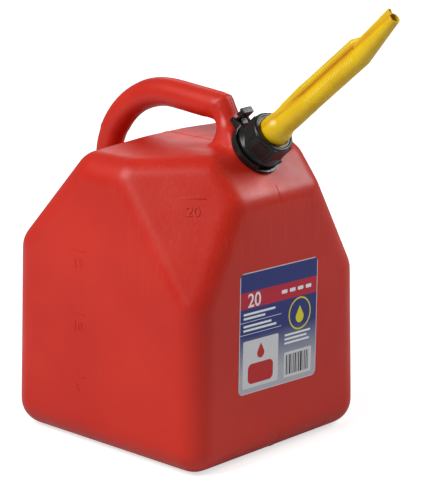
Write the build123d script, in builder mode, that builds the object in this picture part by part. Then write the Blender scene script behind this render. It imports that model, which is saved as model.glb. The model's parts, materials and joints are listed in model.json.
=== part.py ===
from build123d import *
from math import cos, pi, radians, sin, tan
import os

# Gas can: a blow moulded container with its handle, a split lock ring and its
# release lever round the neck, a screw collar, and a two channel pouring spout.
# The origin is the centre of the base, +X is the front, +Z is up, in millimetres.

# Container
can_length = 284.0
can_width = 271.5
side_draft = 1.0
wall = 2.8
edge_round = 28.5
roof_height = 329.0
roof_half_width_rear = 24.0
roof_half_width_front = 58.0
roof_edge_rear = 36.0
roof_edge_front = 62.0
hip_drop = 6.0
rear_slope_angle = 48.0
rear_slope_height = 215.0
front_fold_height = 286.0
front_fold_half_width = 64.0
corner_facet_foot = 160.0
corner_facet_reach = 12.0

# Handle
handle_radius = 15.9
handle_top = 388.6
handle_slope = 4.2
handle_bend = 100.0
handle_nose_bend = 22.0
handle_nose_x = 72.0
handle_foot_depth = 15.0

# Neck and the pillar that carries it
neck_tilt = 42.0
neck_above_fold = 56.0
neck_radius = 20.0
neck_bore_radius = 18.0
neck_height = 29.5
seat_stand = 0.3
pillar_round = 12.0
nose_round = 9.0
pillar_heights = (300.0, 328.0, 343.0, 360.0)
pillar_rear_x = (30.0, 55.0, 55.0, 45.0)
pillar_front_x = (117.0, 113.0, 107.0, 92.0)
pillar_half_widths = (52.0, 32.0, 22.0, 14.6)

# Lock ring and release lever
ring_radius = 30.2
ring_clearance = 0.3
ring_base_thickness = 4.0
ring_rim_thickness = 1.8
ring_rim_height = 4.0
ring_front_gap = 76.0
lever_width = 16.0
lever_side_gap = 0.3
lever_reach = 42.0
lever_height = 20.0
lever_thickness = 3.0
lever_pad_thickness = 3.2
lever_edge_round = 0.9
pivot_radius = 1.6
pivot_barrel_radius = 2.6
pivot_height = 3.6
pivot_distance = 37.0
pivot_clearance = 0.05
ear_thickness = 2.4
ear_radius = 3.4
pawl_width = 9.0
pawl_height = 3.4
pawl_gap = 0.5
handle_clearance = 3.5

# Screw collar
collar_corner_radius = 27.0
collar_corner_round = 12.0
collar_height = 36.0
collar_bore_gap = 1.4
collar_mouth_gap = 1.4
collar_rib_width = 2.6
collar_rib_stand = 0.9
collar_rim_round = 1.2
flange_height = 6.0
flange_gap = 0.7
tooth_count = 60
tooth_depth = 1.0
tooth_gap = 0.7
flange_cone = 4.0

# Gasket and spout
gasket_thickness = 1.5
joint_gap = 0.3
spout_flange_radius = 20.8
spout_flange_thickness = 2.1
spout_tilt = 40.4
stub_radius = 16.6
stub_straight = 7.0
pour_wall = 1.5
vent_wall = 1.2
bore_step = 0.4
pour_offset = -3.0
channel_spacing = 15.9
pour_base_radius = 13.2
pour_radius = 10.6
pour_foot_offset = -0.8
pour_tip_radius = 6.3
vent_foot_offset = 11.0
vent_base_radius = 4.6
vent_radius = 5.2
vent_shoulder_end = 0.6
vent_taper_offset = 9.1
vent_taper_radius = 3.4
vent_tip_radius = 2.5
web_thickness = 4.4
web_tip_gap = 2.0
smooth_length = 62.0
rib_count = 25
rib_pitch = 3.44
rib_depth = 0.8
vent_shoulder_length = 12.0
taper_length = 61.0
tip_rise = 7.1
tip_spacing = 9.0

# Label
label_width = 124.0
label_height = 132.0
label_thickness = 0.3
label_round = 6.0
label_centre_height = 143.0
label_shift = -4.6
label_turn = -2.0


# Frames and heights shared by the pieces

draft_slope = tan(radians(side_draft))


def lean(angle):
    """Direction in the middle plane, so many degrees above horizontal."""
    return Vector(cos(radians(angle)), 0, sin(radians(angle)))


def side_at(half_size, height):
    """Half size of the drafted box at a height."""
    return half_size - height * draft_slope


fold_x = side_at(can_length / 2, front_fold_height)
fold_point = Vector(fold_x, 0, front_fold_height)
neck_axis = lean(neck_tilt)
uphill = lean(neck_tilt + 90)
seat_point = fold_point + uphill * neck_above_fold + neck_axis * seat_stand
seat_plane = Plane(origin=seat_point, x_dir=(0, 1, 0), z_dir=neck_axis)
neck_line = Axis(seat_point, neck_axis)

mouth_point = seat_point + neck_axis * collar_height
spout_axis = lean(spout_tilt)
spout_up = lean(spout_tilt + 90)
spout_plane = Plane(origin=mouth_point, x_dir=(0, 1, 0), z_dir=spout_axis)


def trim_planes():
    """Planes that cut the slopes and the corner facets, facing outwards."""
    rear_x = -side_at(can_length / 2, rear_slope_height)
    planes = [
        Plane(origin=(0, 0, roof_height), z_dir=(0, 0, 1)),
        Plane(origin=(rear_x, 0, rear_slope_height), z_dir=lean(90 + rear_slope_angle)),
        Plane(origin=fold_point, z_dir=neck_axis),
    ]
    for side in (1, -1):
        foot = Vector(
            side_at(can_length / 2, corner_facet_foot),
            side * side_at(can_width / 2, corner_facet_foot),
            corner_facet_foot,
        )
        top = Vector(corner_facet_reach, side * side_at(can_width / 2, roof_height), roof_height)
        fold_end = fold_point + Vector(0, side * front_fold_half_width, 0)
        planes.append(Plane(origin=foot, z_dir=(top - foot).cross(fold_end - foot) * side))
        crease_rear = Vector(-roof_edge_rear, side * roof_half_width_rear, roof_height)
        crease_front = Vector(roof_edge_front, side * roof_half_width_front, roof_height)
        hip_low = Vector(0, side * side_at(can_width / 2, roof_height), roof_height - hip_drop)
        hip_normal = (crease_front - crease_rear).cross(hip_low - crease_rear) * side
        planes.append(Plane(origin=crease_rear, z_dir=hip_normal))
    return planes


def moulded_block(inset):
    """Rounded block of the container, with every face moved in by inset."""
    base_inset = edge_round / cos(radians(side_draft)) + edge_round * draft_slope
    with BuildPart() as block:
        with BuildSketch(Plane.XY.offset(edge_round)):
            Rectangle(can_length - 2 * base_inset, can_width - 2 * base_inset)
        extrude(amount=roof_height, taper=side_draft)
        for plane in trim_planes():
            split(bisect_by=plane.offset(-edge_round), keep=Keep.BOTTOM)
        offset(amount=edge_round - inset, kind=Kind.ARC)
    return block.part


def handle_tube(inset):
    """Round handle, from inside the rear slope over to the neck pillar, clear of the lever."""
    rear_face = side_at(can_length / 2, rear_slope_height)
    leg_x = -rear_face + handle_radius
    bend_rise = tan(radians(90 + handle_slope) / 2) - 1
    crown_z = handle_top - handle_radius + handle_bend * bend_rise
    nose_z = crown_z - (handle_nose_x - leg_x) * tan(radians(handle_slope))
    foot_z = rear_slope_height - handle_foot_depth + inset
    with BuildPart() as tube:
        with BuildLine(Plane.XZ) as path:
            FilletPolyline(
                (leg_x, foot_z),
                (leg_x, crown_z),
                (handle_nose_x, nose_z),
                (handle_nose_x, pillar_heights[1]),
                radius=[handle_bend, handle_nose_bend],
            )
        with BuildSketch(Plane.XY.offset(foot_z)):
            with Locations((leg_x, 0)):
                Circle(handle_radius - inset)
        sweep(path=path.wires()[0])
        with BuildSketch(seat_plane.offset(-inset)):
            Circle(lever_reach + handle_clearance + 2 * inset)
        extrude(amount=neck_height + collar_height, mode=Mode.SUBTRACT)
    return tube.part


def neck_pillar(inset):
    """Pillar that swells from the handle's nose into the roof, cut flat for the neck."""
    with BuildPart() as pillar:
        rows = zip(pillar_heights, pillar_rear_x, pillar_front_x, pillar_half_widths)
        for height, rear, front, half_width in rows:
            with BuildSketch(Plane.XY.offset(height)):
                with Locations(((rear + front) / 2, 0)):
                    length = front - rear - 2 * inset
                    RectangleRounded(length, 2 * (half_width - inset), pillar_round - inset)
        loft()
        split(bisect_by=seat_plane.offset(-inset), keep=Keep.BOTTOM)
    return pillar.part


# Container, blow moulded in one with its handle and neck

with BuildPart() as can_body:
    add(moulded_block(0))
    add(neck_pillar(0))
    add(handle_tube(0))
    nose_cut = can_body.edges().filter_by_position(neck_line, ring_rim_height, lever_height)
    fillet(nose_cut.sort_by(Axis(seat_point, uphill))[-1], nose_round)
    with BuildSketch(seat_plane.offset(-wall)):
        Circle(neck_radius)
    extrude(amount=wall + neck_height)
    add(moulded_block(wall), mode=Mode.SUBTRACT)
    add(neck_pillar(wall), mode=Mode.SUBTRACT)
    add(handle_tube(wall), mode=Mode.SUBTRACT)
    with BuildSketch(seat_plane.offset(-2 * wall)):
        Circle(neck_bore_radius)
    extrude(amount=2 * wall + neck_height, mode=Mode.SUBTRACT)
can_body.part.label = "can_body"

# Label film on the front face

label_face = Plane(
    origin=(side_at(can_length / 2, label_centre_height), label_shift, label_centre_height),
    x_dir=(0, 1, 0),
    z_dir=(cos(radians(side_draft)), 0, sin(radians(side_draft))),
)
with BuildPart() as label:
    with BuildSketch(label_face):
        RectangleRounded(label_width, label_height, label_round, rotation=label_turn)
    extrude(amount=label_thickness)
label.part.label = "label"


# Lock ring: a flat ring on the neck seat with a rim that guards the ratchet teeth

middle_plane = Plane(origin=seat_point, x_dir=uphill, z_dir=(0, 1, 0))
ear_inner = lever_width / 2 + lever_side_gap
ear_outer = ear_inner + ear_thickness
rim_inner_radius = ring_radius - ring_rim_thickness

with BuildPart() as lock_ring:
    with BuildSketch(seat_plane):
        Circle(ring_radius)
        Circle(neck_radius + ring_clearance, mode=Mode.SUBTRACT)
    extrude(amount=ring_base_thickness)
    with BuildSketch(seat_plane.offset(ring_base_thickness)):
        Circle(ring_radius)
        Circle(rim_inner_radius, mode=Mode.SUBTRACT)
        half_gap = ring_radius * 2 * tan(radians(ring_front_gap / 2))
        front_wedge = [(0, 0), (-half_gap, -ring_radius * 2), (half_gap, -ring_radius * 2)]
        Polygon(*front_wedge, align=None, mode=Mode.SUBTRACT)
    extrude(amount=ring_rim_height)
    for side in (1, -1):
        with BuildSketch(middle_plane.offset(side * ear_inner)):
            with Locations((pivot_distance, pivot_height)):
                Circle(ear_radius)
            with Locations((pivot_distance, 0)):
                Rectangle(2 * ear_radius, pivot_height, align=(Align.CENTER, Align.MIN))
            with Locations((pivot_distance, 0)):
                reach = pivot_distance - rim_inner_radius + ring_rim_thickness
                Rectangle(reach, pivot_height + ear_radius, align=(Align.MAX, Align.MIN))
        extrude(amount=side * ear_thickness)
    with BuildSketch(middle_plane):
        notch_top = ring_base_thickness + ring_rim_height
        with Locations((rim_inner_radius - ring_rim_thickness, ring_base_thickness)):
            Rectangle(lever_reach, notch_top, align=(Align.MIN, Align.MIN))
        with Locations((ring_radius, -seat_stand)):
            Rectangle(lever_reach, notch_top, align=(Align.MIN, Align.MIN))
    extrude(amount=ear_inner, both=True, mode=Mode.SUBTRACT)
    with BuildSketch(middle_plane):
        with Locations((pivot_distance, pivot_height)):
            Circle(pivot_radius + pivot_clearance)
    extrude(amount=ear_outer, both=True, mode=Mode.SUBTRACT)
lock_ring.part.label = "lock_ring"


# Release lever: a thumb pad on an upright that turns on its own stub axle

flange_radius = rim_inner_radius - tooth_gap
flange_foot = ring_base_thickness + flange_gap
lever_face = pivot_distance - pivot_barrel_radius + lever_side_gap
pawl_tip = flange_radius + pawl_gap

with BuildPart() as release_lever:
    with BuildSketch(middle_plane):
        with Locations((pivot_distance, pivot_height)):
            Circle(pivot_barrel_radius)
        with Locations((lever_face, pivot_height)):
            upright = lever_height - pivot_height
            Rectangle(lever_thickness, upright, align=(Align.MIN, Align.MIN))
        with Locations((lever_reach, lever_height)):
            Rectangle(lever_reach - lever_face, lever_pad_thickness, align=(Align.MAX, Align.MAX))
    extrude(amount=lever_width / 2, both=True)
    pad_edges = release_lever.faces().sort_by(neck_line)[-1].edges()
    fillet(pad_edges, lever_edge_round)
    with BuildSketch(middle_plane):
        with Locations((pawl_tip, flange_foot + pawl_gap)):
            Rectangle(lever_reach - pawl_tip, pawl_height, align=(Align.MIN, Align.MIN))
        with Locations((lever_face + lever_thickness, flange_foot)):
            Rectangle(lever_reach, lever_height, align=(Align.MIN, Align.MIN), mode=Mode.SUBTRACT)
    extrude(amount=pawl_width / 2, both=True)
    with BuildSketch(middle_plane):
        with Locations((pivot_distance, pivot_height)):
            Circle(pivot_radius)
    extrude(amount=ear_outer, both=True)
release_lever.part.label = "release_lever"


# Screw collar: six sided grip over a flange with ratchet teeth

gasket_foot = neck_height + joint_gap
spout_foot = gasket_foot + gasket_thickness + joint_gap
lip_height = spout_foot + spout_flange_thickness + joint_gap
collar_mouth_radius = stub_radius + collar_mouth_gap
collar_bore_radius = neck_radius + collar_bore_gap
flange_top = flange_foot + flange_height
corner_peak = collar_corner_radius - collar_corner_round * (1 / cos(pi / 6) - 1)

with BuildPart() as screw_collar:
    with BuildSketch(seat_plane.offset(flange_foot)):
        Circle(flange_radius - tooth_depth)
        with PolarLocations(flange_radius - tooth_depth, tooth_count):
            tooth_base = pi * flange_radius / tooth_count
            Polygon(
                (-tooth_depth, -tooth_base / 2),
                (tooth_depth, 0),
                (-tooth_depth, tooth_base / 2),
                align=None,
            )
    extrude(amount=flange_height)
    with BuildSketch(seat_plane.offset(flange_foot)) as grip:
        RegularPolygon(collar_corner_radius, 6)
        fillet(grip.vertices(), collar_corner_round)
        with PolarLocations(corner_peak, 6):
            Rectangle(2 * collar_rib_stand, collar_rib_width)
    extrude(amount=collar_height - flange_foot)
    with BuildSketch(seat_plane.offset(flange_top)):
        Circle(flange_radius - tooth_depth)
    with BuildSketch(seat_plane.offset(flange_top + flange_cone)):
        Circle(collar_corner_radius * cos(pi / 6))
    loft()
    rim_edges = screw_collar.faces().sort_by(neck_line)[-1].edges()
    fillet(rim_edges, collar_rim_round)
    with BuildSketch(seat_plane.offset(flange_foot)):
        Circle(collar_bore_radius)
    extrude(amount=lip_height - flange_foot, mode=Mode.SUBTRACT)
    with BuildSketch(seat_plane.offset(flange_foot)):
        Circle(collar_mouth_radius)
    extrude(amount=collar_height, mode=Mode.SUBTRACT)
screw_collar.part.label = "screw_collar"


# Gasket on the neck's lip

with BuildPart() as gasket:
    with BuildSketch(seat_plane.offset(gasket_foot)):
        Circle(neck_radius)
        Circle(neck_bore_radius, mode=Mode.SUBTRACT)
    extrude(amount=gasket_thickness)
gasket.part.label = "gasket"


# Spout: round stub, then a wide pouring channel and a narrow vent channel side by side

vent_offset = pour_offset + channel_spacing
rib_end = smooth_length + rib_count * rib_pitch
spout_end = rib_end + taper_length
stub_foot = spout_foot + spout_flange_thickness / 2 - collar_height
pour_tip_offset = pour_offset + tip_rise
vent_tip_offset = pour_tip_offset + tip_spacing
spout_side = Plane(origin=mouth_point, x_dir=spout_axis, z_dir=(0, -1, 0))
stands = (Align.CENTER, Align.CENTER, Align.MIN)

# Each run of a channel, as distance, offset and radius at both of its ends
pour_neck = ((stub_straight, pour_foot_offset, pour_base_radius),)
pour_neck += ((smooth_length, pour_offset, pour_radius),)
pour_taper = ((rib_end, pour_offset, pour_radius), (spout_end, pour_tip_offset, pour_tip_radius))
vent_neck = ((stub_straight, vent_foot_offset, vent_base_radius),)
vent_neck += ((smooth_length, vent_offset, vent_radius),)
vent_shoulder = ((rib_end, vent_offset, vent_radius),)
vent_shoulder += ((rib_end + vent_shoulder_length, vent_offset, vent_shoulder_end),)
vent_taper = ((rib_end, vent_taper_offset, vent_taper_radius),)
vent_taper += ((spout_end, vent_tip_offset, vent_tip_radius),)


def on_spout(distance, offset_up):
    """Point in the middle plane, along the spout's axis and off it."""
    return mouth_point + spout_axis * distance + spout_up * offset_up


def run(ends, thickness, mode):
    """Round tapered run of a channel, with its radius less a thickness."""
    (near_distance, near_offset, near_radius), (far_distance, far_offset, far_radius) = ends
    near = on_spout(near_distance, near_offset)
    reach = on_spout(far_distance, far_offset) - near
    with Locations(Plane(origin=near, z_dir=reach)):
        Cone(
            near_radius - thickness,
            far_radius - thickness,
            reach.length,
            align=stands,
            mode=mode,
        )


def ribs(offset_up, radius):
    """Ribbed run of a channel, each rib a pair of cones."""
    for number in range(rib_count):
        foot = smooth_length + number * rib_pitch
        crest = foot + rib_pitch / 2
        top = foot + rib_pitch
        root_radius = radius - rib_depth
        run(((foot, offset_up, root_radius), (crest, offset_up, radius)), 0, Mode.ADD)
        run(((crest, offset_up, radius), (top, offset_up, root_radius)), 0, Mode.ADD)


with BuildPart() as spout:
    with BuildSketch(seat_plane.offset(spout_foot)):
        Circle(spout_flange_radius)
    extrude(amount=spout_flange_thickness)
    with BuildSketch(spout_plane.offset(stub_foot)):
        Circle(stub_radius)
    extrude(amount=stub_straight - stub_foot)
    with Locations(spout_plane.offset(stub_straight)):
        Sphere(stub_radius, arc_size1=0, align=stands)
    for ends in (pour_neck, vent_neck, pour_taper, vent_shoulder, vent_taper):
        run(ends, 0, Mode.ADD)
    ribs(pour_offset, pour_radius)
    ribs(vent_offset, vent_radius)
    with BuildSketch(spout_side):
        Polygon(
            (stub_straight, 0),
            (smooth_length, pour_offset),
            (rib_end, pour_offset),
            (spout_end - web_tip_gap, pour_tip_offset),
            (spout_end - web_tip_gap, vent_tip_offset),
            (rib_end + vent_shoulder_length, vent_taper_offset),
            (rib_end, vent_offset),
            (smooth_length, vent_offset),
            (stub_straight, vent_foot_offset),
            align=None,
        )
    extrude(amount=web_thickness / 2, both=True)
    with BuildSketch(spout_plane.offset(stub_foot - spout_flange_thickness)):
        Circle(stub_radius - pour_wall)
    extrude(amount=stub_straight + spout_flange_thickness - stub_foot, mode=Mode.SUBTRACT)
    with Locations(spout_plane.offset(stub_straight)):
        Sphere(stub_radius - pour_wall, arc_size1=0, align=stands, mode=Mode.SUBTRACT)
    with BuildSketch(spout_plane.offset(smooth_length - rib_pitch)):
        with Locations((0, pour_offset)):
            Circle(pour_radius - rib_depth - pour_wall)
        with Locations((0, vent_offset)):
            Circle(vent_radius - rib_depth - vent_wall)
    extrude(amount=rib_end - smooth_length + 2 * rib_pitch, mode=Mode.SUBTRACT)
    run(pour_neck, rib_depth + pour_wall + bore_step, Mode.SUBTRACT)
    run(vent_neck, rib_depth + vent_wall + bore_step, Mode.SUBTRACT)
    run(pour_taper, pour_wall, Mode.SUBTRACT)
    run(vent_taper, vent_wall, Mode.SUBTRACT)
spout.part.label = "spout"


os.makedirs("parts", exist_ok=True)
for piece in (can_body, label, lock_ring, release_lever, screw_collar, gasket, spout):
    export_step(piece.part, f"parts/{piece.part.label}.step")
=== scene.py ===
"""Looks of a red fuel can with its black neck fittings and its yellow pouring spout.

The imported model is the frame. The container's skin, the neck fittings and the spout are
dressed copies of their solids, and the seam, the raised marks and the label's print are new.
Lengths are metres in the frame, apart from those said to be in millimetres. +X is the can's
front, +Z is up.
"""

import json
import logging
import math
from dataclasses import dataclass
from enum import Enum
from typing import Callable, Sequence

import bpy
from mathutils import Matrix, Vector

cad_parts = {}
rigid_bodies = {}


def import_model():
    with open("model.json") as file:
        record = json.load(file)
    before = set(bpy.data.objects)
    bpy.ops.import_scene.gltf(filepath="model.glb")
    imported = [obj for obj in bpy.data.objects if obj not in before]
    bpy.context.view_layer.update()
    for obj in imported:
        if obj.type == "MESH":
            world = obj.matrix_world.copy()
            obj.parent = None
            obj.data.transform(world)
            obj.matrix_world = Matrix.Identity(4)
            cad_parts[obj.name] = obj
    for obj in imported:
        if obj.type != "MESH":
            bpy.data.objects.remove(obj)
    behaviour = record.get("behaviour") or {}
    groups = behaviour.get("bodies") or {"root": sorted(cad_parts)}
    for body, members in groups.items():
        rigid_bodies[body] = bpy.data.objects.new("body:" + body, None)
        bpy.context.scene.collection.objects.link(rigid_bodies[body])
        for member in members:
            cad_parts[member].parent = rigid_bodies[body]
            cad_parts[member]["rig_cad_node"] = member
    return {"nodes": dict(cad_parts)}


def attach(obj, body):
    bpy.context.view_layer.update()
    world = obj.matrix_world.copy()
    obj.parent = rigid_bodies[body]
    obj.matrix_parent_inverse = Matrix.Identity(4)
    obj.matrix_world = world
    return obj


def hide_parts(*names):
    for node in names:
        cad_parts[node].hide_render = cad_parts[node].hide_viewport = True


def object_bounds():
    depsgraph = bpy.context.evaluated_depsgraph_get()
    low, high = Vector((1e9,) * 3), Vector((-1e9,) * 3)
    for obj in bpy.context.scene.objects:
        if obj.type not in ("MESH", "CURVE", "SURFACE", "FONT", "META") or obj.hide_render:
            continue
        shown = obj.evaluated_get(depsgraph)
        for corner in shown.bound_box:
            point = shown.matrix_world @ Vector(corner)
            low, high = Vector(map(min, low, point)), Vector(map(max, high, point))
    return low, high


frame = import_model()
cad_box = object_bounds()

log = logging.getLogger("gas_can")

MM = 0.001
MERGE_REACH = 0.004 * MM
ROUND_SIDES = 48
SMOOTH_SHARE = 0.5


class Body(str, Enum):
    """Names of the moving bodies that pieces ride on."""

    CAN = "can"
    LEVER = "lever"
    SEAL = "seal"
    COLLAR = "collar"
    SPOUT = "spout"


class Slot(str, Enum):
    """Names of the record's material slots."""

    RED = "red_plastic"
    BLACK = "black_plastic"
    YELLOW = "yellow_plastic"
    RUBBER = "black_rubber"
    FILM = "label_film"


def lean(degrees: float) -> Vector:
    """Return the direction in the middle plane, so many degrees above level."""
    return Vector((math.cos(math.radians(degrees)), 0.0, math.sin(math.radians(degrees))))


NECK_TILT = 42.0
NECK_AXIS = lean(NECK_TILT)
NECK_SEAT = Vector((99.759, 0.0, 327.817)) * MM
COLLAR_HEIGHT = 36.0 * MM
MOUTH = NECK_SEAT + NECK_AXIS * COLLAR_HEIGHT
SPOUT_TILT = 40.4
SPOUT_AXIS = lean(SPOUT_TILT)
SPOUT_UP = lean(SPOUT_TILT + 90)
SIDE_DRAFT = math.radians(1.0)
LABEL_TURN = math.radians(-2.0)

# Where the label lies on the drafted front wall, in millimetres
HALF_LENGTH = 142.0
LABEL_HEIGHT = 143.0
LABEL_SHIFT = -4.6
LABEL_REACH = HALF_LENGTH - LABEL_HEIGHT * math.tan(SIDE_DRAFT)
LABEL_CENTRE = Vector((LABEL_REACH, LABEL_SHIFT, LABEL_HEIGHT)) * MM


def basis(right: Vector, out: Vector, origin: Vector) -> Matrix:
    """Return the matrix that takes local X and Z to two directions square to each other.

    Args:
        right: Direction of local X.
        out: Direction of local Z.
        origin: Where the local origin lies.

    Returns:
        The matrix from local places to the frame's.
    """
    turn = Matrix((right, out.cross(right), out)).transposed().to_4x4()
    return Matrix.Translation(origin) @ turn


def on_wall(out: Vector, origin: Vector) -> Matrix:
    """Return the matrix for a wall that faces a direction, with local X level along it."""
    return basis(Vector((0.0, 0.0, 1.0)).cross(out).normalized(), out, origin)


LABEL_OUT = Vector((math.cos(SIDE_DRAFT), 0.0, math.sin(SIDE_DRAFT)))
LABEL_FRAME = on_wall(LABEL_OUT, LABEL_CENTRE) @ Matrix.Rotation(LABEL_TURN, 4, "Z")

# The facet between the front slope and the side, and a place on it
FACET_OUT = Vector((0.5323, -0.7387, 0.4136)).normalized()
FACET_FRAME = on_wall(FACET_OUT, Vector((96.6, -90.65, 290.4)) * MM)


def from_neck(spot: Vector) -> tuple[float, float]:
    """Return a place's distance from the neck's axis and its height over the neck's seat."""
    away = spot - NECK_SEAT
    height = away.dot(NECK_AXIS)
    return (away - NECK_AXIS * height).length, height


# Modelling helpers


def new_object(name: str, data: bpy.types.ID) -> bpy.types.Object:
    """Return a new object of the scene with this data."""
    piece = bpy.data.objects.new(name, data)
    bpy.context.scene.collection.objects.link(piece)
    return piece


def select_nothing() -> None:
    """Deselect everything."""
    bpy.ops.object.select_all(action="DESELECT")


def select_only(piece: bpy.types.Object) -> None:
    """Select one piece and make it active."""
    if bpy.context.object and bpy.context.object.mode != "OBJECT":
        bpy.ops.object.mode_set(mode="OBJECT")
    select_nothing()
    bpy.context.view_layer.objects.active = piece
    piece.select_set(True)


def pick(piece: bpy.types.Object, wanted: Callable[[Vector], bool]) -> None:
    """Enter edit mode with the vertices selected whose place passes a test.

    Args:
        piece: The mesh object to edit.
        wanted: Test of a vertex's place.
    """
    select_only(piece)
    bpy.ops.object.mode_set(mode="EDIT")
    bpy.ops.mesh.select_mode(type="VERT")
    bpy.ops.mesh.select_all(action="DESELECT")
    bpy.ops.object.mode_set(mode="OBJECT")
    for vertex in piece.data.vertices:
        vertex.select = wanted(vertex.co)
    bpy.ops.object.mode_set(mode="EDIT")


def select_mesh() -> None:
    """Select all of the mesh that is being edited."""
    bpy.ops.mesh.select_all(action="SELECT")


def leave_edit() -> None:
    """Go back to object mode."""
    bpy.ops.object.mode_set(mode="OBJECT")


def anywhere(spot: Vector) -> bool:
    """Pass every place."""
    return True


def ease(
    piece: bpy.types.Object, repeat: int, wanted: Callable[[Vector], bool] = anywhere
) -> None:
    """Smooth the vertices whose place passes a test, so many times over."""
    pick(piece, wanted)
    bpy.ops.mesh.vertices_smooth(factor=SMOOTH_SHARE, repeat=repeat)
    leave_edit()


def finish_with(piece: bpy.types.Object, kind: str, **settings: object) -> None:
    """Add a modifier with the given settings and apply it.

    Args:
        piece: The mesh object.
        kind: Blender's modifier type.
        settings: Values of the modifier's properties.
    """
    select_only(piece)
    modifier = piece.modifiers.new(kind.title(), kind)
    for name, value in settings.items():
        setattr(modifier, name, value)
    bpy.ops.object.modifier_apply(modifier=modifier.name)


def remesh(piece: bpy.types.Object, voxel: float) -> None:
    """Make a piece one even mesh of voxels."""
    finish_with(piece, "REMESH", mode="VOXEL", voxel_size=voxel, adaptivity=0.0)


def settle() -> None:
    """Put the selected pieces' places, turns and sizes into their meshes."""
    bpy.ops.object.transform_apply(location=True, rotation=True, scale=True)


def copy_of_node(node: str, name: str) -> bpy.types.Object:
    """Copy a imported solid's mesh into a new piece with its triangles joined.

    Args:
        node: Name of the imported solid.
        name: Name of the new piece.

    Returns:
        The new mesh object, at the origin.
    """
    piece = new_object(name, frame["nodes"][node].data.copy())
    piece.data.materials.clear()
    select_only(piece)
    if piece.data.has_custom_normals:
        bpy.ops.mesh.customdata_custom_splitnormals_clear()
    bpy.ops.object.mode_set(mode="EDIT")
    select_mesh()
    bpy.ops.mesh.remove_doubles(threshold=MERGE_REACH)
    leave_edit()
    return piece


def place(piece: bpy.types.Object, matrix: Matrix) -> None:
    """Move a piece by a matrix and put the move into its mesh."""
    select_only(piece)
    piece.matrix_world = matrix @ piece.matrix_world
    settle()


def solid_of_revolution(
    name: str, foot: Vector, axis: Vector, length: float, radii: tuple
) -> bpy.types.Object:
    """Return a closed cylinder or cone standing on a point along an axis.

    Args:
        name: The piece's name.
        foot: Centre of its foot.
        axis: Unit vector from its foot to its top.
        length: Its length.
        radii: Its radius at the foot and at the top.

    Returns:
        The new piece.
    """
    select_nothing()
    bpy.ops.mesh.primitive_cone_add(
        vertices=ROUND_SIDES, radius1=radii[0], radius2=radii[1], depth=length
    )
    piece = bpy.context.object
    piece.name = name
    turn = axis.to_track_quat("Z", "Y").to_matrix().to_4x4()
    place(piece, Matrix.Translation(foot + axis * (length / 2)) @ turn)
    return piece


def join_into(piece: bpy.types.Object, others: Sequence[bpy.types.Object]) -> None:
    """Join other pieces into one, whose name stays."""
    name = piece.name
    select_only(piece)
    for other in others:
        other.select_set(True)
    bpy.ops.object.join()
    piece.name = name


def smooth_by_angle(piece: bpy.types.Object, degrees: float) -> None:
    """Shade a piece smooth, apart from the edges sharper than an angle."""
    select_only(piece)
    bpy.ops.object.shade_smooth_by_angle(angle=math.radians(degrees))


def dress(piece: bpy.types.Object, material: bpy.types.Material, body: Body) -> None:
    """Give a piece its finish and the body that it rides on.

    Args:
        piece: The finished mesh object.
        material: Its finish.
        body: The body that it moves with.
    """
    piece.data.materials.clear()
    piece.data.materials.append(material)
    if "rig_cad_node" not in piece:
        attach(piece, body.value)
    log.info("%s rides on %s, %d faces", piece.name, body.value, len(piece.data.polygons))


# Finishes


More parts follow.
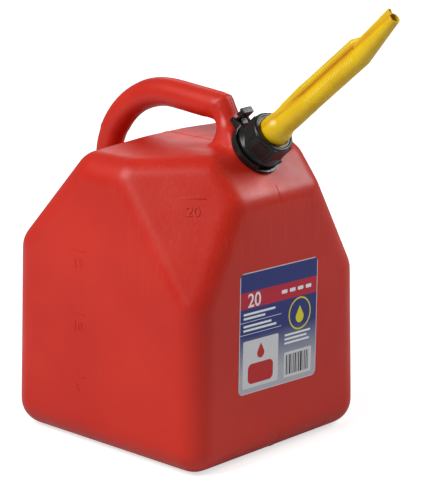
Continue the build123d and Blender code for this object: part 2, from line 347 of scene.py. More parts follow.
class Nodes:
    """A material's node tree, with short ways to add its nodes."""

    def __init__(self, name: str) -> None:
        """Start a material with a Principled shader.

        Args:
            name: The material's name.
        """
        self.material = bpy.data.materials.new(name)
        self.material.use_nodes = True
        self.tree = self.material.node_tree
        self.shader = self.tree.nodes["Principled BSDF"]
        self.place = self.add("ShaderNodeTexCoord").outputs["Object"]

    def add(self, kind: str, **settings: object) -> bpy.types.Node:
        """Add a node.

        Args:
            kind: Blender's node type.
            settings: Values of the node's properties.

        Returns:
            The new node.
        """
        node = self.tree.nodes.new(kind)
        for name, value in settings.items():
            setattr(node, name, value)
        return node

    def feed(self, socket: bpy.types.NodeSocket, value: object) -> None:
        """Link an output to an input socket, or set a constant on it."""
        if isinstance(value, bpy.types.NodeSocket):
            self.tree.links.new(value, socket)
        else:
            socket.default_value = value

    def math(self, operation: str, *values: object) -> bpy.types.NodeSocket:
        """Add a Math node and return its output."""
        node = self.add("ShaderNodeMath", operation=operation)
        for socket, value in zip(node.inputs, values):
            self.feed(socket, value)
        return node.outputs[0]

    def mapped(self, scale: Sequence[float]) -> bpy.types.NodeSocket:
        """Return Object coordinates scaled by a Mapping node."""
        node = self.add("ShaderNodeMapping")
        self.feed(node.inputs["Vector"], self.place)
        node.inputs["Scale"].default_value = scale
        return node.outputs[0]

    def noise(
        self, vector: object, scale: float, detail: float, rough: float = 0.5
    ) -> bpy.types.NodeSocket:
        """Add a Noise texture and return its factor."""
        node = self.add("ShaderNodeTexNoise")
        self.feed(node.inputs["Vector"], vector)
        node.inputs["Scale"].default_value = scale
        node.inputs["Detail"].default_value = detail
        node.inputs["Roughness"].default_value = rough
        return node.outputs["Fac"]

    def ramp(self, value: object, stops: Sequence[tuple]) -> bpy.types.NodeSocket:
        """Add a colour ramp and return its colour.

        Args:
            value: The factor.
            stops: Pairs of a spot on the ramp and a linear colour.

        Returns:
            The ramp's colour output.
        """
        node = self.add("ShaderNodeValToRGB")
        self.feed(node.inputs[0], value)
        for number, (spot, colour) in enumerate(stops):
            if number < 2:
                element = node.color_ramp.elements[number]
                element.position = spot
            else:
                element = node.color_ramp.elements.new(spot)
            element.color = colour
        return node.outputs["Color"]

    def between(
        self, value: object, low: float, high: float, start: float = 0.0, end: float = 1.0
    ) -> bpy.types.NodeSocket:
        """Map a value from start..end to low..high, held inside that range."""
        node = self.add("ShaderNodeMapRange")
        self.feed(node.inputs["Value"], value)
        node.inputs["From Min"].default_value = start
        node.inputs["From Max"].default_value = end
        node.inputs["To Min"].default_value = low
        node.inputs["To Max"].default_value = high
        return node.outputs["Result"]

    def blend(self, factor: object, first: object, second: object) -> bpy.types.NodeSocket:
        """Mix two colours by a factor."""
        node = self.add("ShaderNodeMix", data_type="RGBA")
        self.feed(node.inputs[0], factor)
        self.feed(node.inputs[6], first)
        self.feed(node.inputs[7], second)
        return node.outputs[2]

    def bump(
        self, height: object, strength: float, distance: float, under: object = None
    ) -> bpy.types.NodeSocket:
        """Add a Bump node and return its normal."""
        node = self.add("ShaderNodeBump")
        self.feed(node.inputs["Height"], height)
        node.inputs["Strength"].default_value = strength
        node.inputs["Distance"].default_value = distance
        if under is not None:
            self.feed(node.inputs["Normal"], under)
        return node.outputs["Normal"]

    def finish(
        self, colour: object, roughness: object, shine: float, normal: object = None
    ) -> bpy.types.Material:
        """Feed the shader and return the material."""
        self.feed(self.shader.inputs["Base Color"], colour)
        self.feed(self.shader.inputs["Roughness"], roughness)
        self.feed(self.shader.inputs["Specular IOR Level"], shine)
        if normal is not None:
            self.feed(self.shader.inputs["Normal"], normal)
        return self.material


def linear(red: int, green: int, blue: int) -> tuple:
    """Return the linear colour, opaque, of a display colour given in 0 to 255."""
    parts = (
        (part / 255 / 12.92 if part <= 10 else ((part / 255 + 0.055) / 1.055) ** 2.4)
        for part in (red, green, blue)
    )
    return (*parts, 1.0)


@dataclass(frozen=True)
class Moulded:
    """A moulded plastic of near tones in soft clouds, with scuffed patches and fine grain."""

    name: str
    main: tuple
    deep: tuple
    tone_spots: tuple = (0.35, 0.62)
    roughness: float = 0.35
    shine: float = 0.5
    cloud_scale: float = 60.0
    cloud_detail: float = 3.0
    patch_scale: float = 140.0
    patch_detail: float = 4.0
    patch_rough: float = 0.6
    patch_spots: tuple = (0.3, 0.7)
    gloss_spread: tuple = (-0.07, 0.1)
    grain_scale: float = 900.0
    grain_detail: float = 2.0
    grain_strength: float = 0.7
    grain_height: float = 0.02 * MM

    def tones(self) -> tuple:
        """Return the tones of the clouds' ramp."""
        return (self.deep, self.main)

    def colour(self, nodes: Nodes) -> bpy.types.NodeSocket:
        """Return the clouded colour."""
        cloud = nodes.noise(nodes.place, self.cloud_scale, self.cloud_detail)
        colours = (linear(*tone) for tone in self.tones())
        return nodes.ramp(cloud, tuple(zip(self.tone_spots, colours)))

    def gloss(self, nodes: Nodes) -> bpy.types.NodeSocket:
        """Return the roughness, uneven in scuffed patches."""
        patch = nodes.noise(nodes.place, self.patch_scale, self.patch_detail, self.patch_rough)
        low, high = (self.roughness + spread for spread in self.gloss_spread)
        return nodes.between(patch, low, high, *self.patch_spots)

    def normal(self, nodes: Nodes) -> bpy.types.NodeSocket:
        """Return the normal with the fine grain."""
        grain = nodes.noise(nodes.place, self.grain_scale, self.grain_detail)
        return nodes.bump(grain, self.grain_strength, self.grain_height)

    def build(self) -> bpy.types.Material:
        """Return the finish as a Blender material."""
        nodes = Nodes(self.name)
        return nodes.finish(self.colour(nodes), self.gloss(nodes), self.shine, self.normal(nodes))


@dataclass(frozen=True)
class BlownRed(Moulded):
    """Blow moulded polyethylene: satin red, with flow streaks high on the front half."""

    name: str = "moulded_red"
    main: tuple = (194, 35, 18)
    deep: tuple = (189, 32, 17)
    pale: tuple = (200, 39, 20)
    tone_spots: tuple = (0.32, 0.68, 0.5)
    roughness: float = 0.38
    shine: float = 0.36
    cloud_scale: float = 9.0
    cloud_detail: float = 2.0
    patch_scale: float = 34.0
    patch_rough: float = 0.5
    gloss_spread: tuple = (-0.05, 0.09)
    grain_scale: float = 1500.0
    grain_strength: float = 0.6
    grain_height: float = 0.012 * MM
    streak_pale: tuple = (214, 58, 36)
    streak_scale: tuple = (420.0, 420.0, 14.0)
    streak_detail: float = 3.0
    streak_rough: float = 0.6
    streak_spots: tuple = (0.5, 0.75)
    streak_tint: float = 0.5
    streak_strength: float = 0.6
    streak_height: float = 0.08 * MM
    streak_upward: tuple = (170.0 * MM, 250.0 * MM)
    streak_ahead: tuple = (0.0, 60.0 * MM)
    low_share: float = 0.1
    rear_share: float = 0.15

    def tones(self) -> tuple:
        """Return the tones of the clouds' ramp."""
        return (self.deep, self.pale, self.main)

    def streaks(self, nodes: Nodes) -> tuple[bpy.types.NodeSocket, bpy.types.NodeSocket]:
        """Return the streaks' texture and how strong they are at a place."""
        spot = nodes.mapped(self.streak_scale)
        streak = nodes.noise(spot, 1.0, self.streak_detail, self.streak_rough)
        parts = nodes.add("ShaderNodeSeparateXYZ")
        nodes.feed(parts.inputs[0], nodes.place)
        high = nodes.between(parts.outputs["Z"], self.low_share, 1.0, *self.streak_upward)
        ahead = nodes.between(parts.outputs["X"], self.rear_share, 1.0, *self.streak_ahead)
        return streak, nodes.math("MULTIPLY", high, ahead)

    def colour(self, nodes: Nodes) -> bpy.types.NodeSocket:
        """Return the clouded colour with the pale streaks on it."""
        streak, share = self.streaks(nodes)
        faint = nodes.between(streak, 0.0, self.streak_tint, *self.streak_spots)
        faint = nodes.math("MULTIPLY", faint, share)
        return nodes.blend(faint, super().colour(nodes), linear(*self.streak_pale))

    def normal(self, nodes: Nodes) -> bpy.types.NodeSocket:
        """Return the normal with the streaks under the fine grain."""
        height = nodes.math("MULTIPLY", *self.streaks(nodes))
        under = nodes.bump(height, self.streak_strength, self.streak_height)
        grain = nodes.noise(nodes.place, self.grain_scale, self.grain_detail)
        return nodes.bump(grain, self.grain_strength, self.grain_height, under)


@dataclass(frozen=True)
class SpoutYellow(Moulded):
    """Injection moulded yellow, with a deeper orange painted along the valley between the two
    channels as painted shade.
    """

    name: str = "spout_yellow"
    main: tuple = (226, 188, 6)
    deep: tuple = (219, 177, 4)
    roughness: float = 0.3
    shine: float = 0.45
    cloud_scale: float = 45.0
    patch_scale: float = 120.0
    gloss_spread: tuple = (-0.06, 0.1)
    grain_scale: float = 800.0
    grain_strength: float = 0.6
    # Painted shade: an orange tone painted along the valley between the channels; its middle's
    # offset upward, half width and strength follow.
    valley_shade: tuple = (205, 136, 8)
    valley_shade_middle: float = 7.6 * MM
    valley_shade_half_width: float = 4.0 * MM
    valley_shade_strength: float = 0.75

    def colour(self, nodes: Nodes) -> bpy.types.NodeSocket:
        """Return the clouded colour with the painted shade along the valley on it."""
        across = nodes.add("ShaderNodeVectorMath", operation="DOT_PRODUCT")
        nodes.feed(across.inputs[0], nodes.place)
        across.inputs[1].default_value = SPOUT_UP
        middle = MOUTH.dot(SPOUT_UP) + self.valley_shade_middle
        away = nodes.math("SUBTRACT", across.outputs["Value"], middle)
        away = nodes.math("ABSOLUTE", away)
        # Painted shade: strongest at the valley's middle, gone at its half width.
        depth = nodes.between(away, self.valley_shade_strength, 0.0, 0.0, self.valley_shade_half_width)
        return nodes.blend(depth, super().colour(nodes), linear(*self.valley_shade))


@dataclass(frozen=True)
class LabelFilm:
    """Printed film: navy above, a red band, and silver grey below."""

    navy: tuple = (36, 48, 118)
    red: tuple = (186, 24, 52)
    silver: tuple = (176, 178, 186)
    border: tuple = (206, 208, 214)
    band_top: float = 45.0 * MM
    band_foot: float = 27.0 * MM
    fade_top: float = -2.0 * MM
    fade_foot: float = -46.0 * MM
    half_width: float = 62.0 * MM
    half_height: float = 66.0 * MM
    border_width: float = 0.9 * MM
    fade_wave: float = 4.0 * MM
    wave_scale: float = 22.0
    wave_detail: float = 2.0
    ripple_scale: tuple = (30.0, 30.0, 9.0)
    ripple_strength: float = 0.5
    ripple_height: float = 0.6 * MM
    roughness: float = 0.32
    shine: float = 0.3

    def build(self) -> bpy.types.Material:
        """Return the finish as a Blender material."""
        nodes = Nodes("label_print")
        local = nodes.add("ShaderNodeMapping", vector_type="TEXTURE")
        nodes.feed(local.inputs["Vector"], nodes.place)
        local.inputs["Location"].default_value = LABEL_FRAME.to_translation()
        local.inputs["Rotation"].default_value = LABEL_FRAME.to_euler()
        parts = nodes.add("ShaderNodeSeparateXYZ")
        nodes.feed(parts.inputs[0], local.outputs[0])
        across, upward = parts.outputs["X"], parts.outputs["Y"]
        wave = nodes.noise(nodes.place, self.wave_scale, self.wave_detail)
        drift = nodes.between(wave, -self.fade_wave, self.fade_wave)
        fade_spot = nodes.math("ADD", upward, drift)
        fade = nodes.between(fade_spot, 1.0, 0.0, self.fade_foot, self.fade_top)
        colour = nodes.blend(fade, linear(*self.navy), linear(*self.silver))
        below = nodes.math("LESS_THAN", upward, self.band_top)
        above = nodes.math("GREATER_THAN", upward, self.band_foot)
        band = nodes.math("MULTIPLY", below, above)
        colour = nodes.blend(band, colour, linear(*self.red))
        edges = [
            nodes.math("GREATER_THAN", nodes.math("ABSOLUTE", away), half - self.border_width)
            for away, half in ((across, self.half_width), (upward, self.half_height))
        ]
        edge = nodes.math("MAXIMUM", *edges)
        colour = nodes.blend(edge, colour, linear(*self.border))
        ripple = nodes.noise(nodes.mapped(self.ripple_scale), 1.0, self.wave_detail)
        normal = nodes.bump(ripple, self.ripple_strength, self.ripple_height)
        return nodes.finish(colour, self.roughness, self.shine, normal)


@dataclass(frozen=True)
class Ink:
    """One flat ink of the label's print, slightly uneven."""

    name: str
    colour: tuple
    thin_share: float = 0.88
    thin_lift: float = 0.01
    speck_spots: tuple = (0.3, 0.6)
    speck_scale: float = 700.0
    speck_detail: float = 2.0
    roughness: float = 0.38
    shine: float = 0.3

    def build(self) -> bpy.types.Material:
        """Return the finish as a Blender material."""
        nodes = Nodes(self.name)
        speck = nodes.noise(nodes.place, self.speck_scale, self.speck_detail)
        full = linear(*self.colour)
        thin = (min(1.0, part * self.thin_share + self.thin_lift) for part in full[:3])
        colour = nodes.ramp(speck, tuple(zip(self.speck_spots, ((*thin, 1.0), full))))
        return nodes.finish(colour, self.roughness, self.shine)


# The container


@dataclass
class Container:
    """The blow moulded can with its handle, its parting seam and its raised marks."""

    voxel: float = 2.4 * MM
    neck_bore: float = 18.0 * MM
    bore_depth: float = 34.0 * MM
    bore_foot: float = 7.0 * MM
    bore_spare: float = 0.2 * MM
    seat_reach: float = 33.5 * MM
    seam_radius: float = 0.9 * MM
    seam_sink: float = 0.5 * MM
    seam_ring_reach: float = 44.0 * MM
    seam_ring_depth: float = 2.0 * MM
    seam_front: tuple = (26 * MM, 276 * MM)
    seam_front_x: float = 120.0 * MM
    seam_foot: float = 1.2 * MM
    seam_sides: int = 2
    seam_sharp: float = 60.0
    half_width: float = 135.5 * MM
    side_marks: tuple = (("5", 78.0 * MM), ("10", 148.0 * MM), ("15", 218.0 * MM))
    side_marks_x: float = -35.0 * MM
    figure_size: float = 15.0 * MM
    figure_drop: float = 19.0 * MM
    figure_height: float = 0.5 * MM
    figure_edge: float = 0.12 * MM
    line_size: tuple = (26.0 * MM, 1.3 * MM, 1.0 * MM)
    line_edge: float = 0.3 * MM
    line_edge_sides: int = 2
    mark_lift: float = 0.1 * MM
    mark_sharp: float = 40.0
    even_repeat: int = 4

    # Where the skin is blended: place and reach in millimetres, and how often it is smoothed
    blends: tuple = (
        ((-126.0, 0.0, 268.0), 36.0, 30),
        ((-112.0, 0.0, 296.0), 30.0, 30),
        ((68.0, 0.0, 336.0), 42.0, 20),
        ((80.0, 0.0, 366.0), 34.0, 12),
        ((72.0, -14.0, 366.0), 19.0, 70),
        ((72.0, 14.0, 366.0), 19.0, 70),
        ((77.0, 0.0, 369.0), 20.0, 45),
        ((88.0, -38.0, 316.0), 26.0, 30),
        ((88.0, 38.0, 316.0), 26.0, 30),
    )

    # The flare at the handle's rear root, its foot in millimetres
    root_foot: tuple = (-122.3, 0.0, 212.0)
    root_height: float = 58.0 * MM
    root_radii: tuple = (16.0 * MM, 15.2 * MM)
    root_spread: float = 2.0

    def skin(self) -> bpy.types.Object:
        """Return the container's outer skin, closed, with its roots blended softly."""
        piece = copy_of_node("can_body", "container")
        self.keep_outside(piece)
        join_into(piece, [self.root()])
        remesh(piece, self.voxel)
        self.soften(piece)
        smooth_by_angle(piece, 180)
        return piece

    def root(self) -> bpy.types.Object:
        """Return the flare that spreads the handle's rear leg sideways into the slope."""
        foot = Vector(self.root_foot) * MM
        upright = Vector((0.0, 0.0, 1.0))
        piece = solid_of_revolution("root", foot, upright, self.root_height, self.root_radii)
        pick(piece, lambda spot: spot.z < foot.z + self.root_height / 2)
        bpy.ops.transform.resize(value=(1.0, self.root_spread, 1.0))
        leave_edit()
        return piece

    def keep_outside(self, piece: bpy.types.Object) -> None:
        """Take the inner wall away and close the neck with a blind bore."""
        reach = self.neck_bore + self.bore_spare

        def in_bore(spot: Vector) -> bool:
            """Tell whether a place is in the neck's bore."""
            distance, height = from_neck(spot)
            return distance < reach and height > -self.bore_foot

        pick(piece, in_bore)
        bpy.ops.mesh.select_mode(type="FACE")
        bpy.ops.mesh.delete(type="FACE")
        select_mesh()
        bpy.ops.mesh.separate(type="LOOSE")
        leave_edit()
        parts = [part for part in bpy.context.selected_objects if part.type == "MESH"]
        parts.sort(key=lambda part: part.dimensions.length, reverse=True)
        outer = parts[0]
        for spare in parts[1:]:
            bpy.data.objects.remove(spare)
        if outer is not piece:
            raise RuntimeError("the outer skin has another name")
        log.info("outer skin has %d vertices", len(outer.data.vertices))
        pick(piece, lambda spot: False)
        bpy.ops.mesh.select_non_manifold()
        bpy.ops.mesh.extrude_region_move()
        bpy.ops.transform.translate(value=-NECK_AXIS * self.bore_depth)
        bpy.ops.mesh.edge_face_add()
        select_mesh()
        bpy.ops.mesh.normals_make_consistent(inside=False)
        leave_edit()

    def soften(self, piece: bpy.types.Object) -> None:
        """Even the skin out and blend the handle's roots into it."""
        ease(piece, self.even_repeat)
        for spot_mm, reach_mm, repeat in self.blends:
            centre, reach = Vector(spot_mm) * MM, reach_mm * MM

            def near(spot: Vector) -> bool:
                """Tell whether a place is in reach and off the seat."""
                return (spot - centre).length < reach and self.off_seat(spot)

            ease(piece, repeat, near)

    def off_seat(self, spot: Vector) -> bool:
        """Tell whether a place is clear of the lock ring's seat and the neck."""
        return from_neck(spot)[0] > self.seat_reach

    def seam(self, skin: bpy.types.Object) -> bpy.types.Object:
        """Return the fine bead that the mould's parting line leaves round the can."""
        piece = new_object("parting_seam", skin.data.copy())
        pick(piece, anywhere)
        bpy.ops.transform.shrink_fatten(value=-self.seam_sink)
        bpy.ops.mesh.bisect(
            plane_co=(0.0, 0.0, 0.0), plane_no=(0.0, 1.0, 0.0), clear_inner=True, clear_outer=True
        )
        leave_edit()

        def covered(spot: Vector) -> bool:
            """Tell whether the bead isn't seen at a place."""
            distance, height = from_neck(spot)
            near_neck = distance < self.seam_ring_reach and height > -self.seam_ring_depth
            low, high = self.seam_front
            on_front = spot.x > self.seam_front_x and low < spot.z < high
            return near_neck or on_front or spot.z < self.seam_foot

        pick(piece, covered)
        bpy.ops.mesh.delete(type="VERT")
        leave_edit()
        select_only(piece)
        bpy.ops.object.convert(target="CURVE")
        piece.data.bevel_depth = self.seam_radius
        piece.data.bevel_resolution = self.seam_sides
        piece.data.use_fill_caps = True
        bpy.ops.object.convert(target="MESH")
        self.flatten_at_rear(piece)
        smooth_by_angle(piece, self.seam_sharp)
        return piece

    def flatten_at_rear(self, piece: bpy.types.Object) -> None:
        """Press the bead flat where it would stand out of the CAD box behind the rear wall."""
        rear = cad_box[0][0]
        pick(piece, lambda spot: spot.x < rear)
        bpy.ops.transform.resize(value=(0.0, 1.0, 1.0), center_override=(rear, 0.0, 0.0))
        leave_edit()

    def mark(self, name: str, figures: str, where: Matrix) -> bpy.types.Object:
        """Return a raised level line with plain figures under it.

        Args:
            name: The piece's name.
            figures: The litres at that level.
            where: Its place, with local X along the line and Z outwards.

        Returns:
            The mark, in its place on the can.
        """
        select_nothing()
        bpy.ops.object.text_add()
        text = bpy.context.object
        text.data.body = figures
        text.data.size = self.figure_size
        text.data.align_x = "CENTER"
        text.data.extrude = self.figure_height
        text.data.bevel_depth = self.figure_edge
        text.location = (0.0, -self.figure_drop, self.mark_lift)
        bpy.ops.object.convert(target="MESH")
        select_nothing()
        middle = (0.0, 0.0, self.mark_lift)
        bpy.ops.mesh.primitive_cube_add(size=1.0, location=middle, scale=self.line_size)
        line = bpy.context.object
        settle()
        finish_with(line, "BEVEL", width=self.line_edge, segments=self.line_edge_sides)
        join_into(line, [text])
        line.name = name
        place(line, where)
        smooth_by_angle(line, self.mark_sharp)
        return line

    def side_frame(self, across: float, height: float) -> Matrix:
        """Return a mark's place on the -Y side, from its place along X and its height."""
        out = Vector((0.0, -math.cos(SIDE_DRAFT), math.sin(SIDE_DRAFT)))
        stand = self.half_width - height * math.tan(SIDE_DRAFT)
        return on_wall(out, Vector((across, -stand, height)))

    def build(self) -> None:
        """Make the container's pieces and dress them."""
        red = BlownRed().build()
        skin = self.skin()
        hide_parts("can_body")
        dress(skin, red, Body.CAN)
        dress(self.seam(skin), red, Body.CAN)
        dress(self.mark("level_20", "20", FACET_FRAME), red, Body.CAN)
        for figures, height in self.side_marks:
            where = self.side_frame(self.side_marks_x, height)
            dress(self.mark(f"level_{figures}", figures, where), red, Body.CAN)


# Neck fittings


@dataclass
class NeckFittings:
    """Lock ring, release lever, screw collar and gasket round the neck."""

    edge: float = 0.35 * MM
    edge_sides: int = 2
    lip_height: float = 33.1 * MM
    lip_radius: float = 21.7 * MM
    lip_thickness: float = 2.8 * MM
    lip_fall: float = 1.6 * MM
    lip_sides: tuple = (72, 20)
    pad_radius: float = 38.2 * MM
    pad_foot: float = 8.2 * MM
    pad_size: tuple = (6.4 * MM, 12.0 * MM, 10.0 * MM)
    lever_voxel: float = 0.4 * MM
    lever_repeat: int = 6
    sharp: float = 35.0

    def lip(self, collar: bpy.types.Object) -> None:
        """Give the collar the thick round lip at its mouth."""

        def outer_top(spot: Vector) -> bool:
            """Tell whether a place is on the mouth's outer edge."""
            distance, height = from_neck(spot)
            return height > self.lip_height and distance > self.lip_radius

        pick(collar, outer_top)
        bpy.ops.transform.translate(value=-NECK_AXIS * self.lip_fall)
        leave_edit()
        select_nothing()
        bpy.ops.mesh.primitive_torus_add(
            major_radius=self.lip_radius,
            minor_radius=self.lip_thickness,
            major_segments=self.lip_sides[0],
            minor_segments=self.lip_sides[1],
        )
        bead = bpy.context.object
        turn = NECK_AXIS.to_track_quat("Z", "Y").to_matrix().to_4x4()
        place(bead, Matrix.Translation(NECK_SEAT + NECK_AXIS * self.lip_height) @ turn)
        join_into(collar, [bead])

    def rounded_copy(self, node: str, name: str) -> bpy.types.Object:
        """Return a copy of a solid with its sharp edges rounded off."""
        piece = copy_of_node(node, name)
        finish_with(
            piece,
            "BEVEL",
            width=self.edge,
            segments=self.edge_sides,
            limit_method="ANGLE",
            angle_limit=math.radians(self.sharp),
            use_clamp_overlap=True,
        )
        smooth_by_angle(piece, self.sharp)
        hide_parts(node)
        return piece

    def lever(self) -> bpy.types.Object:
        """Return the release lever with its pad backed by a solid, softly rounded block."""
        piece = copy_of_node("release_lever", "thumb_lever")
        uphill = lean(NECK_TILT + 90)
        select_nothing()
        bpy.ops.mesh.primitive_cube_add(size=1.0, scale=self.pad_size)
        block = bpy.context.object
        settle()
        pad_middle = self.pad_foot + self.pad_size[2] / 2
        middle = NECK_SEAT + uphill * self.pad_radius + NECK_AXIS * pad_middle
        place(block, basis(uphill, NECK_AXIS, middle))
        join_into(piece, [block])
        remesh(piece, self.lever_voxel)
        ease(piece, self.lever_repeat)
        smooth_by_angle(piece, 180)
        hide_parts("release_lever")
        return piece

    def build(self) -> None:
        """Make the fittings and dress them."""
        dark = (15, 15, 15)
        black = Moulded("black_nylon", (22, 22, 21), dark, roughness=0.3, shine=0.45).build()
        rubber = Moulded("black_rubber", (22, 22, 22), dark, roughness=0.75, shine=0.3).build()
        ring = self.rounded_copy("lock_ring", "ratchet_ring")
        dress(ring, black, Body.CAN)
        dress(self.lever(), black, Body.LEVER)
        collar = self.rounded_copy("screw_collar", "grip_collar")
        self.lip(collar)
        dress(collar, black, Body.COLLAR)
        dress(frame["nodes"]["gasket"], rubber, Body.SEAL)


# The spout


@dataclass
class Spout:
    """The yellow spout with its pouring channel and its vent channel."""

    voxel: float = 0.61 * MM
    foot_start: float = 3.0 * MM
    foot_reach: float = 27.0 * MM
    foot_repeat: int = 55

    # Runs of the channels that are filled: each end's distance along the spout from the collar's
    # mouth, its offset upward and its radius, in millimetres
    cores: tuple = (
        ((32.0, -1.8, 10.6), (63.0, -3.0, 8.9)),
        ((62.0, -3.0, 8.9), (150.0, -3.0, 8.9)),
        ((148.0, -3.0, 9.8), (189.0, 1.77, 6.95)),
        ((32.0, 11.86, 3.4), (63.0, 12.9, 3.7)),
        ((62.0, 12.9, 3.8), (150.0, 12.9, 3.8)),
        ((148.0, 9.1, 2.8), (189.0, 11.79, 2.2)),
    )

    def core(self, near: tuple, far: tuple) -> bpy.types.Object:
        """Return a solid core that fills a run of a channel where nobody sees into it.

        Args:
            near: Distance along the spout, offset and radius where it starts, in millimetres.
            far: The same where it ends.

        Returns:
            The core.
        """
        start, end = (
            MOUTH + (SPOUT_AXIS * along + SPOUT_UP * upward) * MM
            for along, upward, _ in (near, far)
        )
        reach = end - start
        radii = (near[2] * MM, far[2] * MM)
        return solid_of_revolution("core", start, reach.normalized(), reach.length, radii)

    def build(self) -> None:
        """Make the spout and dress it."""
        yellow = SpoutYellow().build()
        piece = copy_of_node("spout", "pouring_spout")
        join_into(piece, [self.core(near, far) for near, far in self.cores])
        remesh(piece, self.voxel)
        ease(piece, 1)

        def bulb(spot: Vector) -> bool:
            """Tell whether a place is on the dome at the spout's foot."""
            away = spot - MOUTH
            past_mouth = away.dot(NECK_AXIS) > self.foot_start
            return past_mouth and away.dot(SPOUT_AXIS) < self.foot_reach

        ease(piece, self.foot_repeat, bulb)
        smooth_by_angle(piece, 180)
        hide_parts("spout")
        dress(piece, yellow, Body.SPOUT)


# The label


@dataclass
class Label:
    """The printed film on the front face, with plain numbers, drops and rules."""

    film: float = 0.3 * MM
    ink: float = 0.05 * MM
    corner_sides: int = 5
    drop_sides: int = 32
    drop_shoulder: float = 0.55
    drop_lift: float = 1.15
    ring_sides: int = 64
    bold: float = 0.25 * MM

    # Places from the film's centre and sizes, in millimetres. A slab has its left, foot, width,
    # height and rounding, a drop its place and radius, the ring those and its width, a row its
    # foot and width, and the figures their left, foot and size.
    figures: tuple = ("20", -50.0, 28.4, 21.0)
    dash: tuple = (4.0, 34.0, 9.0, 4.0, 1.0)
    dash_pitch: float = 13.0
    dash_count: int = 4
    text_left: float = -56.0
    text_height: float = 2.4
    text_rows: tuple = ((20.0, 50.0), (15.5, 34.0), (7.0, 44.0), (2.5, 52.0))
    rule_left: float = -62.0
    rule_size: tuple = (66.0, 0.5)
    rule_feet: tuple = (12.4, -1.0)
    note_left: float = 10.0
    note_height: float = 2.2
    note_rows: tuple = ((-14.0, 42.0), (-18.5, 36.0), (-23.0, 40.0))
    row_round: float = 0.6
    badge: tuple = (34.0, 8.0, 18.0, 1.6)
    badge_drop: tuple = (34.0, 4.0, 6.4)
    picture_panel: tuple = (-56.0, -60.0, 56.0, 52.0, 2.0)
    code_panel: tuple = (10.0, -60.0, 44.0, 28.0, 1.0)
    picture_block: tuple = (-48.0, -56.0, 40.0, 22.0, 6.0)
    picture_drop: tuple = (-28.0, -24.0, 5.6)
    bars_left: float = 13.0
    bars_foot: float = -57.0
    bar_height: float = 22.0
    bar_gap: float = 1.5
    bar_widths: tuple = (1.6, 0.8, 2.4, 0.8, 1.2, 2.0, 0.8, 1.6, 2.8, 0.8, 1.2, 1.6, 0.8)

    def slab(
        self, name: str, left: float, foot: float, width: float, height: float, corner: float = 0.0
    ) -> bpy.types.Object:
        """Return a thin printed rectangle in the label's own place.

        Args:
            name: The piece's name.
            left: Left edge from the label's centre, in millimetres.
            foot: Lower edge from the label's centre, in millimetres.
            width: Width in millimetres.
            height: Height in millimetres.
            corner: Radius of its corners, in millimetres.

        Returns:
            The new piece, in the label's local place.
        """
        select_nothing()
        spot = ((left + width / 2) * MM, (foot + height / 2) * MM, self.film)
        bpy.ops.mesh.primitive_plane_add(size=1.0, location=spot)
        piece = bpy.context.object
        piece.name = name
        piece.scale = (width * MM, height * MM, 1.0)
        settle()
        bpy.ops.object.mode_set(mode="EDIT")
        select_mesh()
        if corner:
            bpy.ops.mesh.bevel(affect="VERTICES", offset=corner * MM, segments=self.corner_sides)
            select_mesh()
        self.thicken()
        return piece

    def thicken(self) -> None:
        """Give the flat shape being edited the ink's thickness."""
        bpy.ops.mesh.extrude_region_move(TRANSFORM_OT_translate={"value": (0.0, 0.0, self.ink)})
        select_mesh()
        bpy.ops.mesh.normals_make_consistent(inside=False)
        leave_edit()

    def disc(
        self, name: str, across: float, upward: float, radius: float, sides: int
    ) -> bpy.types.Object:
        """Return a flat disc to shape further, its place and radius in millimetres."""
        select_nothing()
        spot = (across * MM, upward * MM, self.film)
        bpy.ops.mesh.primitive_circle_add(
            vertices=sides, radius=radius * MM, fill_type="NGON", location=spot
        )
        piece = bpy.context.object
        piece.name = name
        settle()
        return piece

    def drop(self, name: str, across: float, upward: float, radius: float) -> bpy.types.Object:
        """Return a plain drop, its place and radius in millimetres."""
        piece = self.disc(name, across, upward, radius, self.drop_sides)
        shoulder = (upward + radius * self.drop_shoulder) * MM
        pick(piece, lambda spot: spot.y > shoulder)
        bpy.ops.mesh.merge(type="CENTER")
        bpy.ops.transform.translate(value=(0.0, radius * self.drop_lift * MM, 0.0))
        select_mesh()
        self.thicken()
        return piece

    def ring(
        self, name: str, across: float, upward: float, radius: float, width: float
    ) -> bpy.types.Object:
        """Return a flat ring, its place and sizes in millimetres."""
        piece = self.disc(name, across, upward, radius, self.ring_sides)
        bpy.ops.object.mode_set(mode="EDIT")
        select_mesh()
        bpy.ops.mesh.inset(thickness=width * MM, depth=0.0)
        bpy.ops.mesh.delete(type="FACE")
        select_mesh()
        self.thicken()
        return piece

    def number(
        self, name: str, words: str, left: float, foot: float, size: float
    ) -> bpy.types.Object:
        """Return plain figures, their place and size in millimetres."""
        select_nothing()
        bpy.ops.object.text_add()
        piece = bpy.context.object
        piece.name = name
        piece.data.body = words
        piece.data.size = size * MM
        piece.data.offset = self.bold
        piece.data.extrude = self.ink / 2
        piece.location = (left * MM, foot * MM, self.film + self.ink)
        bpy.ops.object.convert(target="MESH")
        settle()
        return piece

    def print_on(self, name: str, ink: Ink, shapes: Sequence[bpy.types.Object]) -> None:
        """Join shapes of one ink into one piece, put it on the film and dress it."""
        piece = shapes[0]
        piece.name = name
        join_into(piece, shapes[1:])
        place(piece, LABEL_FRAME)
        dress(piece, ink.build(), Body.CAN)

    def words(self) -> list[bpy.types.Object]:
        """Return the figures and the rows that stand for words."""
        shapes = [self.number("figures", *self.figures)]
        left, *rest = self.dash
        for step in range(self.dash_count):
            shapes.append(self.slab("dash", left + self.dash_pitch * step, *rest))
        for foot, width in self.text_rows:
            row = (self.text_left, foot, width, self.text_height, self.row_round)
            shapes.append(self.slab("line", *row))
        for foot in self.rule_feet:
            shapes.append(self.slab("rule", self.rule_left, foot, *self.rule_size))
        for foot, width in self.note_rows:
            row = (self.note_left, foot, width, self.note_height, self.row_round)
            shapes.append(self.slab("note", *row))
        return shapes

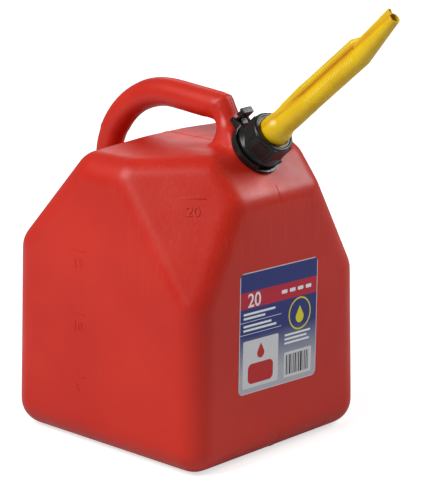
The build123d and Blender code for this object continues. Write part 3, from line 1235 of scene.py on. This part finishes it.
    def bars(self) -> list[bpy.types.Object]:
        """Return a row of bars of different widths."""
        shapes, left = [], self.bars_left
        for width in self.bar_widths:
            shapes.append(self.slab("bar", left, self.bars_foot, width, self.bar_height))
            left += width + self.bar_gap
        return shapes

    def build(self) -> None:
        """Dress the film and print on it."""
        dress(frame["nodes"]["label"], LabelFilm().build(), Body.CAN)
        self.print_on("label_white", Ink("white_ink", (236, 238, 242)), self.words())
        badge = [self.ring("ring", *self.badge), self.drop("spot", *self.badge_drop)]
        self.print_on("label_yellow", Ink("yellow_ink", (226, 214, 30)), badge)
        panels = [self.slab("panel", *self.picture_panel), self.slab("code", *self.code_panel)]
        self.print_on("label_panels", Ink("grey_ink", (214, 216, 220)), panels)
        self.film += self.ink
        picture = [self.slab("block", *self.picture_block), self.drop("fuel", *self.picture_drop)]
        self.print_on("label_red", Ink("red_ink", (190, 26, 30)), picture)
        self.print_on("label_black", Ink("black_ink", (24, 24, 28)), self.bars())


# Studio


@dataclass
class Studio:
    """Floor, lamps, world and camera."""

    camera_place: tuple = (1.71792, -1.81320, 0.87789)
    camera_up: tuple = (-0.17854, 0.18635, 0.96613)
    camera_ahead: tuple = (-0.65641, 0.70890, -0.25804)
    focal_pixels: float = 2355.1
    frame_height: float = 480.0
    world_level: float = 0.2
    lamps: tuple = (
        ("key", (-0.35, -1.66, 1.76), 1.3, 50.0),
        ("fill", (0.95, 1.47, 1.35), 1.0, 24.0),
        ("back", (-1.3, 1.5, 1.2), 1.0, 4.0),
    )
    sensor: float = 36.0
    clip: tuple = (0.05, 50.0)
    floor_size: float = 14.0
    floor_tone: tuple = (0.62, 0.62, 0.62, 1.0)
    floor_roughness: float = 0.9
    floor_shine: float = 0.1
    floor_white: tuple = (0.7, 2.4)
    floor_glow: tuple = (0.65, 1.0)
    aim: tuple = (0.0, 0.0, 0.2)

    def camera(self) -> None:
        """Make the camera at the photograph's place and angle."""
        data = bpy.data.cameras.new("camera")
        data.sensor_width = self.sensor
        data.lens = self.focal_pixels / self.frame_height * self.sensor
        data.clip_start, data.clip_end = self.clip
        camera = new_object("camera", data)
        ahead = Vector(self.camera_ahead).normalized()
        right = ahead.cross(Vector(self.camera_up)).normalized()
        turn = Matrix((right, right.cross(ahead), -ahead)).transposed()
        camera.matrix_world = Matrix.Translation(Vector(self.camera_place)) @ turn.to_4x4()
        bpy.context.scene.camera = camera

    def lights(self) -> None:
        """Make the soft lamps."""
        for name, spot, size, power in self.lamps:
            data = bpy.data.lights.new(name, "AREA")
            data.shape = "SQUARE"
            data.size = size
            data.energy = power
            lamp = new_object(name, data)
            lamp.location = spot
            away = Vector(spot) - Vector(self.aim)
            lamp.rotation_euler = away.to_track_quat("Z", "Y").to_euler()

    def world(self) -> None:
        """Make the world: white where seen, a plain grey light elsewhere."""
        world = bpy.data.worlds.new("studio")
        bpy.context.scene.world = world
        world.use_nodes = True
        tree = world.node_tree
        back = tree.nodes["Background"]
        path = tree.nodes.new("ShaderNodeLightPath")
        reach = tree.nodes.new("ShaderNodeMapRange")
        tree.links.new(path.outputs["Is Camera Ray"], reach.inputs["Value"])
        reach.inputs["To Min"].default_value = self.world_level
        reach.inputs["To Max"].default_value = 1.0
        tree.links.new(reach.outputs["Result"], back.inputs["Strength"])
        back.inputs["Color"].default_value = (1.0, 1.0, 1.0, 1.0)

    def floor(self) -> None:
        """Make the pale floor, which keeps the can's shadow."""
        select_nothing()
        bpy.ops.mesh.primitive_plane_add(size=self.floor_size, location=(0.0, 0.0, 0.0))
        floor = bpy.context.object
        floor.name = "floor"
        nodes = Nodes("pale_floor")
        path = nodes.add("ShaderNodeLightPath")
        away = nodes.add("ShaderNodeVectorMath", operation="LENGTH")
        nodes.feed(away.inputs[0], nodes.place)
        level = nodes.between(away.outputs["Value"], *self.floor_glow, *self.floor_white)
        glow = nodes.math("MULTIPLY", path.outputs["Is Camera Ray"], level)
        nodes.feed(nodes.shader.inputs["Emission Color"], (1.0, 1.0, 1.0, 1.0))
        nodes.feed(nodes.shader.inputs["Emission Strength"], glow)
        pale = nodes.finish(self.floor_tone, self.floor_roughness, self.floor_shine)
        floor.data.materials.append(pale)

    def build(self) -> None:
        """Make the whole studio."""
        self.camera()
        self.lights()
        self.world()
        self.floor()


def write_sizes() -> None:
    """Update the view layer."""
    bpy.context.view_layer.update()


def main() -> None:
    """Build the studio and every piece of the can, in order."""
    logging.basicConfig(level=logging.INFO, format="%(name)s: %(message)s")
    bpy.context.scene.view_settings.view_transform = "Standard"
    Studio().build()
    for group in (Container(), NeckFittings(), Spout(), Label()):
        group.build()
        log.info("%s is finished", type(group).__name__)
    write_sizes()


if __name__ == "__main__":
    main()
